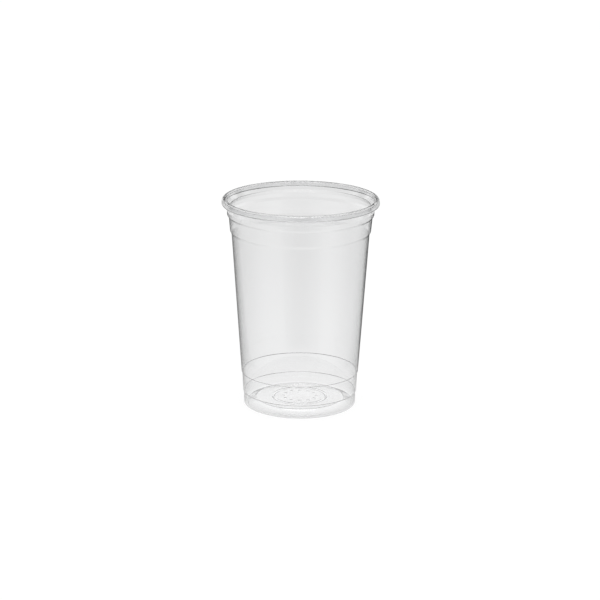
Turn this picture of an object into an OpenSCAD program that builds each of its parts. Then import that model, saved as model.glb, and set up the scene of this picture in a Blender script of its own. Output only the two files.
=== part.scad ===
// Clear disposable drinking cup, formed in one piece from a thin sheet of plastic.
// The skin is one folded section turned about Z. Z = 0 is the surface it stands on.
// Widths are outside sizes. Sizes at the top hang from the crown of the rim, and sizes
// at the bottom stand on the foot, so a taller cup only gets a longer body.

/* [Overall] */
// Height from the standing surface to the crown of the rim
cup_h = 128; // [110:1:150]
// Diameter over the rolled rim
rim_d = 95; // [90:0.5:100]
// Diameter of the foot at the bottom of the side wall
foot_d = 68; // [60:0.5:72]

/* [Plastic] */
// Thickness of the plastic in the rolled rim
rim_t = 0.45; // [0.3:0.01:0.5]
// Thickness of the plastic in the side wall
wall_t = 0.27; // [0.2:0.01:0.4]
// Thickness of the plastic in the foot and the base
base_t = 0.38; // [0.25:0.01:0.42]
// Inside radius of the tight folds in the foot and the base
fold_in = 0.25; // [0.1:0.01:0.3]

/* [Rolled rim] */
// Height of the roll from its crown down to its underside
roll_h = 3.55; // [3.3:0.05:4.2]
// Width of the roll across its crown
roll_w = 2.85; // [2.75:0.05:3.2]
// How far the outer side of the roll leans in towards the crown
roll_lean = 0.2; // [0:0.05:0.4]
// Inside radius of the outer fold of the crown
crown_fold = 0.75; // [0.5:0.05:0.9]
// Inside radius of the inner fold of the crown, round the mouth
mouth_fold = 0.45; // [0.3:0.05:0.5]
// Inside radius of the folds in the underside of the roll
lip_fold = 0.45; // [0.3:0.05:0.5]
// Width of the curl under the roll, from its outer side to its turned-up edge
curl_w = 2; // [1.95:0.05:2.3]
// Height of the turned-up edge
curl_h = 2; // [1.2:0.1:2.2]

/* [Neck] */
// Depth of the crease under the roll, below the crown
throat_drop = 4.8; // [4.6:0.1:5.4]
// How far the crease lies inside the neck band
throat_in = 1.15; // [0.8:0.05:1.3]
// Inside radius of the crease
throat_fold = 0.05; // [0.02:0.01:0.25]
// How far the rim stands out past the neck band
rim_overhang = 3.3; // [2.8:0.1:4]
// Height of the neck band
neck_h = 3.2; // [2:0.1:3.6]
// Depth of the neck step, below the crown
neck_drop = 10.3; // [9.6:0.1:12]
// How far the wall goes in at the neck step
neck_step = 1; // [0.5:0.05:1.5]
// Height of the sloping face of the neck step
neck_step_h = 1.4; // [1:0.1:1.8]
// Inside radius of the folds in the neck and the shoulder
band_fold = 0.5; // [0.2:0.05:0.6]

/* [Shoulder] */
// Depth of the shoulder, below the crown
shoulder_drop = 20.4; // [17:0.1:26]
// How far the collar above the shoulder goes in from top to bottom
collar_taper = 0.8; // [0.2:0.05:1.2]
// How far the wall goes in at the shoulder
shoulder_step = 0.9; // [0.5:0.05:1.5]
// Height of the sloping face of the shoulder
shoulder_step_h = 1.8; // [1:0.1:2.6]

/* [Lower wall] */
// Height of the stacking ledge
stack_z = 20.3; // [16:0.1:26]
// How far the wall goes in at the stacking ledge
stack_step = 0.5; // [0.4:0.05:1.2]
// How far the heel goes in from the stacking ledge to the foot ledge
heel_taper = 0.4; // [0.2:0.05:0.8]
// Height of the foot ledge
foot_z = 8.2; // [6.5:0.1:12]
// How far the wall goes in at the foot ledge
foot_step = 0.6; // [0.4:0.05:0.8]
// How far the wall goes in from the foot ledge to the bottom
foot_taper = 0; // [0:0.05:0.6]
// Inside radius of the folds in the two ledges
ledge_fold = 0.02; // [0.01:0.01:0.02]

/* [Foot and base] */
// Width of the foot, from the side wall to its inner side
foot_w = 2.1; // [2:0.1:2.8]
// Inside radius of the foot's outer edge
foot_fold = 0.6; // [0.3:0.05:0.7]
// Height of the foot's inner side
foot_rise = 1.3; // [1.1:0.1:1.8]
// How far the foot's inner side leans in
foot_lean = 0.3; // [0.1:0.05:0.6]
// Height of the base panel
panel_z = 3.75; // [3.2:0.05:5.5]
// Diameter of the base panel
panel_d = 53; // [44:0.5:54]
// Height of the step around the base panel
panel_step_h = 0.65; // [0.4:0.05:1]
// Width of the step around the base panel
panel_step_w = 0.85; // [0.6:0.05:1.2]
// Diameter of the ring pressed into the base panel
ring_d = 32; // [28:0.5:38]
// Width of the pressed ring
ring_w = 1.7; // [1.5:0.1:2.4]
// Depth of the pressed ring
ring_depth = 0.65; // [0.3:0.05:0.8]
// Inside radius of the soft folds beside the panel's step and the pressed ring
press_fold = 0.5; // [0.2:0.05:0.6]

/* [Pips in the base] */
// Number of round pips inside the pressed ring
pip_count = 12; // [6:1:14]
// Diameter of the circle of pips
pip_ring_d = 20; // [16:0.5:22]
// Width of a pip
pip_w = 1.7; // [1.2:0.1:2]
// Height of a pip
pip_h = 0.3; // [0.2:0.05:0.4]

/* [Hidden] */
clear = [0.9, 0.93, 0.95, 0.45];
facets = 180;
pip_facets = 48;
chord_deg = 15;
ledge_fall = 0.02;

// Outside radii of the wall, from the rim down and from the foot up
rim_r = rim_d / 2;
neck_r = rim_r - rim_overhang;
throat_r = neck_r - throat_in;
collar_r = neck_r - neck_step;
shoulder_r = collar_r - collar_taper;
body_top_r = shoulder_r - shoulder_step;
foot_r = foot_d / 2;
foot_top_r = foot_r + foot_taper;
heel_r = foot_top_r + foot_step;
heel_top_r = heel_r + heel_taper;
body_foot_r = heel_top_r + stack_step;

// The roll at the middle of the plastic: its lip, its outer side, its crown and its curl
lip_r = rim_r - rim_t / 2;
lip_z = cup_h - roll_h + rim_t / 2;
roll_r = lip_r - roll_lean;
roll_in_r = roll_r - roll_w + rim_t;
crown_z = cup_h - rim_t / 2;
curl_r = lip_r - curl_w + rim_t;

// The foot and the base at the middle of the plastic
land_z = base_t / 2;
foot_in_r = foot_r - foot_w + base_t / 2;
base_z = panel_z - base_t / 2;

// Corners of the skin: radius and height at the middle of the plastic, the inside radius
// of the fold there, and the thickness
function roll(r, z, fold) = [r, z, fold, rim_t];
function wall(r, z, fold) = [r - wall_t / 2, z, fold, wall_t];
function base(r, z, fold) = [r, z, fold, base_t];
corners = [
    roll(curl_r, lip_z + curl_h, lip_fold),
    roll(curl_r, lip_z, lip_fold),
    roll(lip_r, lip_z, lip_fold),
    roll(roll_r, crown_z, crown_fold),
    roll(roll_in_r, crown_z, mouth_fold),
    roll(throat_r - rim_t / 2, cup_h - throat_drop, throat_fold),
    wall(neck_r, cup_h - neck_drop + neck_h, band_fold),
    wall(neck_r, cup_h - neck_drop + neck_step_h / 2, band_fold),
    wall(collar_r, cup_h - neck_drop - neck_step_h / 2, band_fold),
    wall(shoulder_r, cup_h - shoulder_drop + shoulder_step_h / 2, band_fold),
    wall(body_top_r, cup_h - shoulder_drop - shoulder_step_h / 2, band_fold),
    wall(body_foot_r, stack_z + ledge_fall / 2, ledge_fold),
    wall(heel_top_r, stack_z - ledge_fall / 2, ledge_fold),
    wall(heel_r, foot_z + ledge_fall / 2, ledge_fold),
    wall(foot_top_r, foot_z - ledge_fall / 2, ledge_fold),
    base(foot_r - base_t / 2, land_z, foot_fold),
    base(foot_in_r, land_z, foot_fold / 2),
    base(foot_in_r - foot_lean, foot_rise, fold_in),
    base(panel_d / 2 + panel_step_w, base_z - panel_step_h, press_fold),
    base(panel_d / 2, base_z, press_fold),
    base((ring_d + ring_w) / 2, base_z, press_fold),
    base(ring_d / 2, base_z - ring_depth, fold_in),
    base((ring_d - ring_w) / 2, base_z, press_fold),
    base(0, base_z, fold_in)
];

function point(corner) = [corner[0], corner[1]];
function unit(v) = v / norm(v);
function turned(v, a) = [v.x * cos(a) - v.y * sin(a), v.x * sin(a) + v.y * cos(a)];

// Middle line around the fold at corner b, on the way from corner a to corner c, as
// points with the thickness beside them
function fold(a, b, c) =
    let (
        back = unit(point(a) - point(b)),
        on = unit(point(c) - point(b)),
        half = acos(back * on) / 2,
        turn = sign(cross(-back, on)) * (180 - 2 * half),
        radius = b[2] + b[3] / 2,
        centre = point(b) + unit(back + on) * radius / sin(half),
        spoke = point(b) + back * radius / tan(half) - centre,
        chords = ceil(abs(turn) / chord_deg)
    )
    [for (i = [0:chords]) [centre + turned(spoke, turn * i / chords), b[3]]];

last = len(corners) - 1;
middle_line = [
    [point(corners[0]), rim_t],
    for (i = [1:last - 1]) each fold(corners[i - 1], corners[i], corners[i + 1]),
    [point(corners[last]), base_t]
];

// Direction square to the stretch of the middle line that starts at point i
function square_to(i) = turned(unit(middle_line[i + 1][0] - middle_line[i][0]), 90);

// One face of the skin: the middle line moved sideways by half the thickness, and
// mitred at its points
function face(side) =
    let (end = len(middle_line) - 1)
    [for (i = [0:end])
        let (
            before = square_to(max(i - 1, 0)),
            after = square_to(min(i, end - 1)),
            mitre = (before + after) / (1 + before * after)
        )
        middle_line[i][0] + mitre * side * middle_line[i][1] / 2];

function reversed(list) = [for (i = [len(list) - 1:-1:0]) list[i]];

// The whole section of the skin, on the +X side of the axis
module section() {
    polygon(concat(face(1), reversed(face(-1))));
}

// Places its child at each pip, on the upper face of the base panel
module at_pips() {
    for (i = [0:pip_count - 1])
        rotate(i * 360 / pip_count)
            translate([pip_ring_d / 2, 0, panel_z])
                children();
}

// The ball whose cap is the pip's domed face
module pip_ball() {
    ball_r = (pip_w * pip_w / 4 + pip_h * pip_h) / (2 * pip_h);
    translate([0, 0, pip_h - ball_r])
        sphere(r = ball_r, $fn = pip_facets);
}

// Raised side of one pip, rooted in the middle of the panel
module pip() {
    intersection() {
        pip_ball();
        translate([0, 0, -base_t / 2])
            cylinder(r = pip_w, h = base_t / 2 + 2 * pip_h, $fn = pip_facets);
    }
}

module cup() {
    color(clear)
        difference() {
            union() {
                rotate_extrude($fn = facets) section();
                at_pips() pip();
            }
            translate([0, 0, -base_t]) at_pips() pip_ball();
        }
}

cup();
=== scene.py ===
import math

import bmesh
import bpy
from mathutils import Matrix, Quaternion, Vector


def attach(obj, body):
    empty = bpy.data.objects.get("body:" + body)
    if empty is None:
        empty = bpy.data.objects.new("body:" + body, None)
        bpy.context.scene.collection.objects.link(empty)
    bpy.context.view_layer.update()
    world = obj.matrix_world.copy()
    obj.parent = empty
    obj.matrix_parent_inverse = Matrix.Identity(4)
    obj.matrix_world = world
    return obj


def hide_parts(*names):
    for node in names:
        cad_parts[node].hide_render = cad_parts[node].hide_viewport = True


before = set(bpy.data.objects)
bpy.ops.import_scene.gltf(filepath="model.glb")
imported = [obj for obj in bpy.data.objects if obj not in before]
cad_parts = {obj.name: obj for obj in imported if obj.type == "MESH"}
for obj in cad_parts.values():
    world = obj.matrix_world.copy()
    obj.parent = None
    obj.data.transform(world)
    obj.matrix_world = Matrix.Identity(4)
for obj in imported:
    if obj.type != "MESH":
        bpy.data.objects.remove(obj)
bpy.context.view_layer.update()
MM = 0.001


# Camera. A long lens stands well back and looks a little down into the cup, so that the
# far side of the rim shows above the near one.

lens_away = 1450 * MM
lens_up = math.radians(15.87)
lens_tilt = math.radians(0.35)
aim = Vector((-0.1 * MM, 0, 64.5 * MM))
frame_wide = 363.6 * MM
film_wide = 36
far_limit = 50

camera_data = bpy.data.cameras.new("camera")
camera_data.sensor_width = film_wide
camera_data.lens = film_wide * lens_away / frame_wide
camera_data.clip_end = far_limit
camera = bpy.data.objects.new("camera", camera_data)
camera.location = aim + lens_away * Vector((0, -math.cos(lens_up), math.sin(lens_up)))
lens_turn = (aim - camera.location).to_track_quat("-Z", "Y")
camera.rotation_euler = (lens_turn @ Quaternion((0, 0, 1), lens_tilt)).to_euler()
bpy.context.scene.collection.objects.link(camera)
bpy.context.scene.camera = camera


# Sheet. The cup starts as one flat sheet of clear plastic. Every part of it is given here
# as corners of its folded section: radius and height at the middle of the plastic, the
# inside radius of the fold there, and the thickness left after forming. Millimetres.

cup_h = 128
rim_d = 95
foot_d = 68
rim_t = 0.45
wall_t = 0.27
base_t = 0.38


# Rolled rim. The edge of the formed sheet is heated and rolled outwards, which leaves a
# thick hollow bead with a flared lip tucked in under it, for the hand and for a lid.

roll_h = 3.55
roll_w = 2.85
roll_lean = 0.2
crown_fold = 0.75
mouth_fold = 0.45
lip_fold = 0.45
curl_w = 2
curl_h = 2

lip_r = rim_d / 2 - rim_t / 2
lip_z = cup_h - roll_h + rim_t / 2
curl_r = lip_r - curl_w + rim_t
roll_r = lip_r - roll_lean
roll_in_r = roll_r - roll_w + rim_t
crown_z = cup_h - rim_t / 2


def roll(r, z, fold):
    return (r, z, fold, rim_t)


rim_corners = [
    roll(curl_r, lip_z + curl_h, lip_fold),
    roll(curl_r, lip_z, lip_fold),
    roll(lip_r, lip_z, lip_fold),
    roll(roll_r, crown_z, crown_fold),
    roll(roll_in_r, crown_z, mouth_fold),
]


# Neck and shoulder. Under the bead the sheet turns back out into an upright band, and
# steps in twice, so that the thin mouth stays round and a stacked cup hangs clear.

throat_drop = 4.8
throat_in = 1.15
throat_fold = 0.05
band_fold = 0.5
rim_overhang = 3.3
neck_h = 3.2
neck_drop = 10.3
neck_step = 1
neck_step_h = 1.4
shoulder_drop = 20.4
collar_taper = 0.8
shoulder_step = 0.9
shoulder_step_h = 1.8

neck_r = rim_d / 2 - rim_overhang
throat_r = neck_r - throat_in
collar_r = neck_r - neck_step
shoulder_r = collar_r - collar_taper
body_top_r = shoulder_r - shoulder_step


def wall(outside_r, z, fold):
    return (outside_r - wall_t / 2, z, fold, wall_t)


neck_corners = [
    roll(throat_r - rim_t / 2, cup_h - throat_drop, throat_fold),
    wall(neck_r, cup_h - neck_drop + neck_h, band_fold),
    wall(neck_r, cup_h - neck_drop + neck_step_h / 2, band_fold),
    wall(collar_r, cup_h - neck_drop - neck_step_h / 2, band_fold),
    wall(shoulder_r, cup_h - shoulder_drop + shoulder_step_h / 2, band_fold),
    wall(body_top_r, cup_h - shoulder_drop - shoulder_step_h / 2, band_fold),
]


# Body and heel. The long wall is drawn down to a taper and is the thinnest of the cup.
# Two small steps near its bottom seat one cup in the next.

ledge_fall = 0.02
ledge_fold = 0.02
stack_z = 20.3
stack_step = 0.5
heel_taper = 0.4
foot_z = 8.2
foot_step = 0.6
foot_taper = 0

foot_r = foot_d / 2
foot_top_r = foot_r + foot_taper
heel_r = foot_top_r + foot_step
heel_top_r = heel_r + heel_taper
body_foot_r = heel_top_r + stack_step

body_corners = [
    wall(body_foot_r, stack_z + ledge_fall / 2, ledge_fold),
    wall(heel_top_r, stack_z - ledge_fall / 2, ledge_fold),
    wall(heel_r, foot_z + ledge_fall / 2, ledge_fold),
    wall(foot_top_r, foot_z - ledge_fall / 2, ledge_fold),
]


# Foot and base. The sheet folds under into a narrow ring that the cup stands on, and the
# base panel is pushed up inside it, with a pressed ring and a circle of small plain pips.

foot_w = 2.1
foot_fold = 0.6
foot_rise = 1.3
foot_lean = 0.3
fold_in = 0.25
panel_z = 3.75
panel_d = 53
panel_step_h = 0.65
panel_step_w = 0.85
ring_d = 32
ring_w = 1.7
ring_depth = 0.65
press_fold = 0.5
pip_count = 12
pip_ring_d = 20
pip_w = 1.7
pip_h = 0.3

land_z = base_t / 2
foot_in_r = foot_r - foot_w + base_t / 2
base_z = panel_z - base_t / 2


def base(r, z, fold):
    return (r, z, fold, base_t)


base_corners = [
    base(foot_r - base_t / 2, land_z, foot_fold),
    base(foot_in_r, land_z, foot_fold / 2),
    base(foot_in_r - foot_lean, foot_rise, fold_in),
    base(panel_d / 2 + panel_step_w, base_z - panel_step_h, press_fold),
    base(panel_d / 2, base_z, press_fold),
    base((ring_d + ring_w) / 2, base_z, press_fold),
    base(ring_d / 2, base_z - ring_depth, fold_in),
    base((ring_d - ring_w) / 2, base_z, press_fold),
    base(0, base_z, fold_in),
]


def pip_rise(x, y):
    """How far a pip's round cap lifts the base panel at this place."""
    ball_r = (pip_w**2 / 4 + pip_h**2) / (2 * pip_h)
    pitch = 2 * math.pi / pip_count
    angle = round(math.atan2(y, x) / pitch) * pitch
    off = math.hypot(
        x - pip_ring_d / 2 * math.cos(angle), y - pip_ring_d / 2 * math.sin(angle)
    )
    if off >= pip_w / 2:
        return 0
    return math.sqrt(ball_r**2 - off**2) - (ball_r - pip_h)


# Skin. The section is folded at its corners, given its thickness, and turned about the
# axis into one closed skin. A fold turns by no more than a chord's angle at a time. A
# guard ring beside each fold keeps the soft shading of the fold off the long walls.

chord = math.radians(10)
guard = 0.12
long_step = 7
sides_per_pip = 17
sides = sides_per_pip * pip_count

corners = rim_corners + neck_corners + body_corners + base_corners


def folded(a, b, c):
    """Middle line round the fold at corner b, as points with the thickness there."""
    at = Vector(b[:2])
    back = (Vector(a[:2]) - at).normalized()
    onward = (Vector(c[:2]) - at).normalized()
    half = math.acos(max(-1, min(1, back.dot(onward)))) / 2
    side = 1 if (-back).cross(onward) > 0 else -1
    turn = side * (math.pi - 2 * half)
    radius = b[2] + b[3] / 2
    centre = at + (back + onward).normalized() * radius / math.sin(half)
    spoke = at + back * radius / math.tan(half) - centre
    chords = math.ceil(abs(turn) / chord)
    return [
        (centre + Matrix.Rotation(turn * i / chords, 2) @ spoke, b[3])
        for i in range(chords + 1)
    ]


def leg(start, end):
    """Points along a straight stretch: a guard ring near each end, and even steps."""
    (p, p_t), (q, q_t) = start, end
    length = (q - p).length
    if length < 3 * guard:
        return []
    inner = length - 2 * guard
    steps = math.ceil(inner / long_step)
    shares = [(guard + inner * i / steps) / length for i in range(steps + 1)]
    return [(p.lerp(q, share), p_t + (q_t - p_t) * share) for share in shares]


runs = [[(Vector(corners[0][:2]), rim_t)]]
runs += [folded(*corners[i - 1 : i + 2]) for i in range(1, len(corners) - 1)]
runs += [[(Vector(corners[-1][:2]), base_t)]]

middle = list(runs[0])
for run, following in zip(runs, runs[1:]):
    middle += leg(run[-1], following[0]) + following

# The flat of the base panel, where rings lie close together across the pips
flat_r = (ring_d - ring_w) / 2 - 1
hub_r = 1.5
pip_steps = (1.1, 1, 0.85, 0.7, 0.5, 0.3, 0.1)
pip_steps += tuple(-step for step in reversed(pip_steps))
flat_radii = [pip_ring_d / 2 + step * pip_w / 2 for step in pip_steps] + [hub_r, 0]
middle = [p for p in middle if p[0].x >= flat_r or p[0].y >= panel_z]
middle += [(Vector((r, base_z)), base_t) for r in flat_radii]


def across(i):
    """Direction square to the stretch of the middle line that starts at point i."""
    along = (middle[i + 1][0] - middle[i][0]).normalized()
    return Vector((-along.y, along.x))


def face(side):
    """One face of the skin: the middle line moved sideways by half the thickness."""
    line = []
    for i, (point, thickness) in enumerate(middle):
        before = across(max(i - 1, 0))
        after = across(min(i, len(middle) - 2))
        mitre = (before + after) / (1 + before.dot(after))
        line.append(point + mitre * side * thickness / 2)
    return line


outline = face(1) + face(-1)[::-1]
on_axis = {len(middle) - 1, len(middle)}

points = []
rings = []
for i, (r, z) in enumerate(outline):
    start = len(points)
    if i in on_axis:
        points.append((0, 0, z * MM))
    else:
        for k in range(sides):
            angle = 2 * math.pi * k / sides
            x, y = r * math.cos(angle), r * math.sin(angle)
            points.append((x * MM, y * MM, (z + pip_rise(x, y)) * MM))
    rings.append(range(start, len(points)))

rolled_rim, drawn_wall, pressed_base = range(3)
base_top = panel_z + 1


def finish_at(i):
    """Which finish the skin has at a ring."""
    at = middle[min(i, len(outline) - 1 - i)][0]
    if at.y > cup_h - throat_drop:
        return rolled_rim
    if at.y < base_top and at.x < foot_r:
        return pressed_base
    return drawn_wall


faces = []
finishes = []
for i, ring in enumerate(rings):
    after = (i + 1) % len(rings)
    following = rings[after]
    if len(ring) == 1 and len(following) == 1:
        continue
    for k in range(sides):
        on = (k + 1) % sides
        if len(ring) == 1:
            faces.append((ring[0], following[k], following[on]))
        elif len(following) == 1:
            faces.append((ring[k], following[0], ring[on]))
        else:
            faces.append((ring[k], following[k], following[on], ring[on]))
        finishes.append(max(finish_at(i), finish_at(after)))

skin_mesh = bpy.data.meshes.new("cup_skin")
skin_mesh.from_pydata(points, [], faces)
skin_mesh.validate()
skin_mesh.shade_smooth()
skin_mesh.polygons.foreach_set("material_index", finishes)
skin = bpy.data.objects.new("cup_skin", skin_mesh)
bpy.context.scene.collection.objects.link(skin)

outward = bmesh.new()
outward.from_mesh(skin_mesh)
bmesh.ops.recalc_face_normals(outward, faces=outward.faces)
outward.to_mesh(skin_mesh)
outward.free()

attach(skin, "root")
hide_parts("cup")


# Finishes. The rolled rim has been heated twice; its darker tint is painted shade for the
# dark hollow bead. The wall is drawn thin and is the clearest, and the base is pressed
# against a cool die, which leaves it a little hazy. All three are the same clear sheet,
# with soft clouds and ripples drawn out up the wall.


class Wire:
    """An output socket of a node tree, with the arithmetic that adds Math nodes."""

    def __init__(self, net, socket):
        self.net = net
        self.socket = socket

    def maths(self, operation, first, second):
        return self.net.node("ShaderNodeMath", {"operation": operation}, {0: first, 1: second})

    def __add__(self, other):
        return self.maths("ADD", self, other)

    def __sub__(self, other):
        return self.maths("SUBTRACT", self, other)

    def __rsub__(self, other):
        return self.maths("SUBTRACT", other, self)

    def __mul__(self, other):
        return self.maths("MULTIPLY", self, other)

    def __gt__(self, other):
        return self.maths("GREATER_THAN", self, other)

    __radd__ = __add__
    __rmul__ = __mul__


class Net:
    """The node tree of a material or of the world."""

    def __init__(self, owner):
        owner.use_nodes = True
        self.tree = owner.node_tree
        self.tree.nodes.clear()

    def node(self, kind, settings, sockets, output=0):
        """Adds a node: its settings are set first, then its sockets are set or linked."""
        made = self.tree.nodes.new(kind)
        for name, value in settings.items():
            if name == "stops":
                ramp = made.color_ramp
                while len(ramp.elements) < len(value):
                    ramp.elements.new(1)
                for element, (position, level) in zip(ramp.elements, value):
                    element.position = position
                    element.color = (level, level, level, 1)
            else:
                setattr(made, name, value)
        for name, value in sockets.items():
            if isinstance(value, Wire):
                self.tree.links.new(value.socket, made.inputs[name])
            else:
                made.inputs[name].default_value = value
        return Wire(self, made.outputs[output]) if made.outputs else None


plastic_ior = 1.57
cloud_scale = 45
cloud_detail = 3
cloud_roughness = 0.55
streak_scale = 90
streak_detail = 2
streak_roughness = 0.5
streak_draw = (1, 1, 0.08)
ripple_strength = 0.25


def sheet(name, thick_tint, thin_tint, least_haze, haze, ripple):
    """Clear formed plastic: a clouded tint and haze, and ripples of a given height."""
    plastic = bpy.data.materials.new(name)
    net = Net(plastic)
    place = net.node("ShaderNodeTexCoord", {}, {}, output="Object")
    drawn = net.node(
        "ShaderNodeVectorMath", {"operation": "MULTIPLY"}, {0: place, 1: streak_draw}
    )
    streaks = net.node(
        "ShaderNodeTexNoise",
        {},
        {
            "Vector": drawn,
            "Scale": streak_scale,
            "Detail": streak_detail,
            "Roughness": streak_roughness,
        },
    )
    clouds = net.node(
        "ShaderNodeTexNoise",
        {},
        {
            "Vector": place,
            "Scale": cloud_scale,
            "Detail": cloud_detail,
            "Roughness": cloud_roughness,
        },
    )
    tint = net.node(
        "ShaderNodeMix",
        {"data_type": "RGBA"},
        {"Factor": clouds, 6: thick_tint, 7: thin_tint},
        output=2,
    )
    bump = net.node(
        "ShaderNodeBump",
        {},
        {"Strength": ripple_strength, "Distance": ripple, "Height": streaks},
    )
    shader = net.node(
        "ShaderNodeBsdfPrincipled",
        {},
        {
            "Base Color": tint,
            "Roughness": clouds * haze + least_haze,
            "IOR": plastic_ior,
            "Transmission Weight": 1,
            "Normal": bump,
        },
    )
    net.node("ShaderNodeOutputMaterial", {}, {"Surface": shader})
    skin_mesh.materials.append(plastic)


# The rim's darker tint is painted shade, standing in for the darkness of the hollow bead
sheet(
    "rolled_rim",
    thick_tint=(0.957, 0.959, 0.961, 1),
    thin_tint=(0.981, 0.983, 0.985, 1),
    least_haze=0.03,
    haze=0.03,
    ripple=0.005 * MM,
)
sheet(
    "drawn_wall",
    thick_tint=(0.985, 0.987, 0.989, 1),
    thin_tint=(0.996, 0.997, 0.998, 1),
    least_haze=0.005,
    haze=0.02,
    ripple=0.05 * MM,
)
sheet(
    "pressed_base",
    thick_tint=(0.975, 0.977, 0.979, 1),
    thin_tint=(0.99, 0.991, 0.992, 1),
    least_haze=0.07,
    haze=0.07,
    ripple=0.02 * MM,
)


# Floor. A plain pale sweep in soft light, white to the lens. Seen through the cup it is painted
# a little greyer with distance. In a reflection it shows a dusky studio floor painted on it,
# with two painted pools of light by the cup, and painted light and dark stretches round the set.

floor_r = 6
floor_sides = 96
shadow_share = 0.12

floor_mesh = bpy.data.meshes.new("floor")
floor_points = [
    (floor_r * math.cos(angle), floor_r * math.sin(angle), 0)
    for angle in (2 * math.pi * k / floor_sides for k in range(floor_sides))
]
floor_mesh.from_pydata(floor_points, [], [tuple(range(floor_sides))])
floor = bpy.data.objects.new("floor", floor_mesh)
bpy.context.scene.collection.objects.link(floor)


def fade(net, value, start, end, first, last):
    """A level that goes softly from first to last as a value goes from start to end."""
    return net.node(
        "ShaderNodeMapRange",
        {"interpolation_type": "SMOOTHSTEP"},
        {"Value": value, "From Min": start, "From Max": end, "To Min": first, "To Max": last},
    )


def away_from(net, spot, y):
    """Distance along the floor from a point on the line that runs under the lens."""
    return net.node(
        "ShaderNodeVectorMath", {"operation": "DISTANCE"}, {0: spot, 1: (0, y, 0)}, output="Value"
    )


floor_paint = bpy.data.materials.new("pale_floor")
net = Net(floor_paint)
spot = net.node("ShaderNodeTexCoord", {}, {}, output="Object")
reach = away_from(net, spot, 0)

# Seen through the cup, painted on: white near it and greyer further out, dim beyond the
# table's edge, a faint painted shadow under the cup itself, and a painted light patch in
# the middle
near_r = 0.03
far_r = 0.45
near_white = 0.925
far_white = 0.83
table_r = 0.55
room_r = 2.5
room_level = 0.3
glow_y = 0.007
glow_r = 0.027
glow_end_r = 0.035
glow_level = 0.22
shade_r = 0.03
shade_end_r = 0.036
shade_level = 0.06

behind = fade(net, reach, near_r, far_r, near_white, far_white)
behind = behind * fade(net, reach, table_r, room_r, 1, room_level)
# Painted light patch under the base
behind = behind + fade(net, away_from(net, spot, glow_y), glow_r, glow_end_r, glow_level, 0)
# Painted shadow under the whole cup
behind = behind - fade(net, reach, shade_r, shade_end_r, shade_level, 0)

# In a reflection, painted on: one pool of light before the cup and one behind it, dusk round
# them, and far behind the set a pale stretch of its own
pool_y = -0.035
pool_r = 0.045
dusk_r = 0.1
back_y = 0.042
back_r = 0.018
back_end_r = 0.03
pool_level = 0.85
dusk_level = 0.55
outer_r = 0.505
outer_full_r = 0.58
outer_y = 0.2
outer_level = 1.2

# Painted light of the set round about, by degrees from the lens's side towards the right
stretches = (
    (-180, 0.15),
    (-155, 0.25),
    (-140, 0.5),
    (-125, 0.75),
    (-95, 0.75),
    (-84, 0.85),
    (-80, 1.05),
    (-52, 1.25),
    (-49, 1.1),
    (-28, 0.95),
    (-24, 0.8),
    (-14, 0.65),
    (-10, 0.45),
    (6, 0.42),
    (12, 0.48),
    (30, 0.85),
    (34, 1.25),
    (56, 1.25),
    (60, 1.05),
    (80, 0.9),
    (88, 0.75),
    (112, 0.8),
    (132, 0.9),
    (142, 0.2),
    (155, 0),
    (180, 0.05),
)

# The gradient runs from 0 to 1 round the floor, and has the lens's side at a quarter
lens_side = 0.25
around = net.node("ShaderNodeTexGradient", {"gradient_type": "RADIAL"}, {"Vector": spot})
stops = sorted(((lens_side + angle / 360) % 1, level) for angle, level in stretches)
set_round = net.node("ShaderNodeValToRGB", {"stops": stops}, {"Fac": around})

dusk = fade(net, away_from(net, spot, pool_y), pool_r, dusk_r, 0, 1)
dusk = dusk * fade(net, away_from(net, spot, back_y), back_r, back_end_r, 0, 1)
spot_y = net.node("ShaderNodeSeparateXYZ", {}, {0: spot}, output="Y")
outer = fade(net, reach, outer_r, outer_full_r, 0, 1) * fade(net, spot_y, 0, outer_y, 0, 1)
dusk_round = set_round * (1 - outer) + outer_level * outer
reflected = pool_level * (1 - dusk) + dusk_level * dusk * dusk_round

# A ray has been mirrored once its depth is 1 or more
any_bounce = 0.5
open_floor = 1.04
to_lens = net.node("ShaderNodeLightPath", {}, {}, output="Is Camera Ray")
mirrored = net.node("ShaderNodeLightPath", {}, {}, output="Glossy Depth") > any_bounce
seen = to_lens * open_floor + (1 - to_lens) * behind
level = mirrored * reflected + (1 - mirrored) * seen

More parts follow.
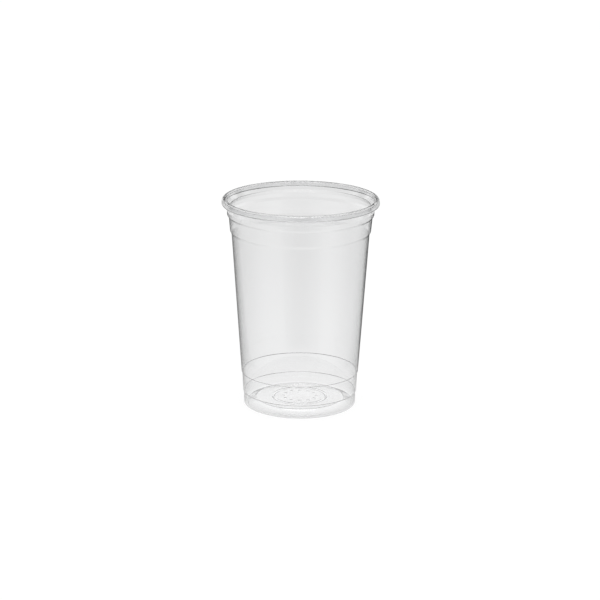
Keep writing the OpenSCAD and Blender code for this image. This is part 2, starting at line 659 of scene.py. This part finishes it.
glow = net.node(
    "ShaderNodeEmission", {}, {"Color": level * (1 - shadow_share), "Strength": 1}
)
matt = net.node("ShaderNodeBsdfDiffuse", {}, {"Color": (shadow_share,) * 3 + (1,)})
lit = net.node("ShaderNodeAddShader", {}, {0: glow, 1: matt})
net.node("ShaderNodeOutputMaterial", {}, {"Surface": lit})
floor_paint.cycles.emission_sampling = "NONE"
floor_mesh.materials.append(floor_paint)


# World. White behind the cup. In a reflection, or bent through the plastic, it is the
# studio: a light strip low down, a dark horizon over it, a wall that is pale behind the
# set and dim on the lens's side, and one soft light straight overhead.

low_end = 0.1
low_gone = 0.19
low_level = 1
horizon_low = 0.225
horizon_high = 0.29
front_y = -0.3
wall_y = 0.5
front_level = 0.15
wall_level = 1
overhead_low = 0.93
overhead_full = 0.965
overhead_level = 2.7

world = bpy.data.worlds.new("studio")
bpy.context.scene.world = world
net = Net(world)
way = net.node("ShaderNodeTexCoord", {}, {}, output="Generated")
height = net.node("ShaderNodeSeparateXYZ", {}, {0: way}, output="Z")
depth = net.node("ShaderNodeSeparateXYZ", {}, {0: way}, output="Y")
low = fade(net, height, low_end, low_gone, low_level, 0)
up = fade(net, height, horizon_low, horizon_high, 0, 1)
wall_side = fade(net, depth, front_y, wall_y, front_level, wall_level)
overhead = fade(net, height, overhead_low, overhead_full, 0, overhead_level)
studio = wall_side * up + low + overhead
mirrored = net.node("ShaderNodeLightPath", {}, {}, output="Glossy Depth") > any_bounce
through = net.node("ShaderNodeLightPath", {}, {}, output="Is Transmission Ray")
plain = (1 - through) * (1 - mirrored)
level = plain + (1 - plain) * studio
surface = net.node("ShaderNodeBackground", {}, {"Color": level, "Strength": 1})
net.node("ShaderNodeOutputWorld", {}, {"Surface": surface})

# Enough bounces for light to cross both walls, the base and the hollow rim
through_bounces = 32
mirror_bounces = 16

scene = bpy.context.scene
scene.view_settings.view_transform = "Standard"
scene.cycles.max_bounces = through_bounces
scene.cycles.transmission_bounces = through_bounces
scene.cycles.glossy_bounces = mirror_bounces
scene.cycles.transparent_max_bounces = mirror_bounces
